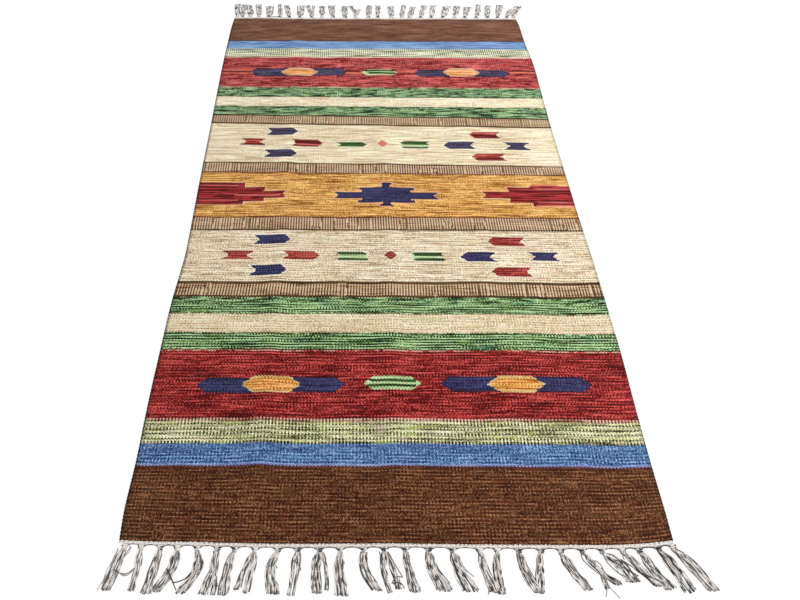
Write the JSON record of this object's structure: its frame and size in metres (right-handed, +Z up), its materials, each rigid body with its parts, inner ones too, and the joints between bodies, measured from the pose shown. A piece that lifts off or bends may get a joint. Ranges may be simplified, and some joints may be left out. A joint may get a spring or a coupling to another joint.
{
  "type": "kilim rug",
  "caption": "Flat-woven kilim rug with banded field, woven motifs, a twined heading and knotted warp tassels at both ends.",
  "frame": {"origin": "under the middle of the whole rug, fringes included, on the surface that it lies on", "axes": "+Y along the rug's length, from the near end to the far end; +X across it, to the right; +Z up, out of its face"},
  "size_m": [0.9674, 1.657, 0.007],
  "materials": {
    "wool_weave": "matte weft-faced wool in woven bands",
    "heading_cord": "matte twined cotton",
    "cotton_warp": "matte cotton yarn"
  },
  "bodies": {
    "root": {"woven_field": "wool_weave", "heading_near": "heading_cord", "heading_far": "heading_cord", "fringe_near": "cotton_warp", "fringe_far": "cotton_warp"}
  },
  "joints": []
}
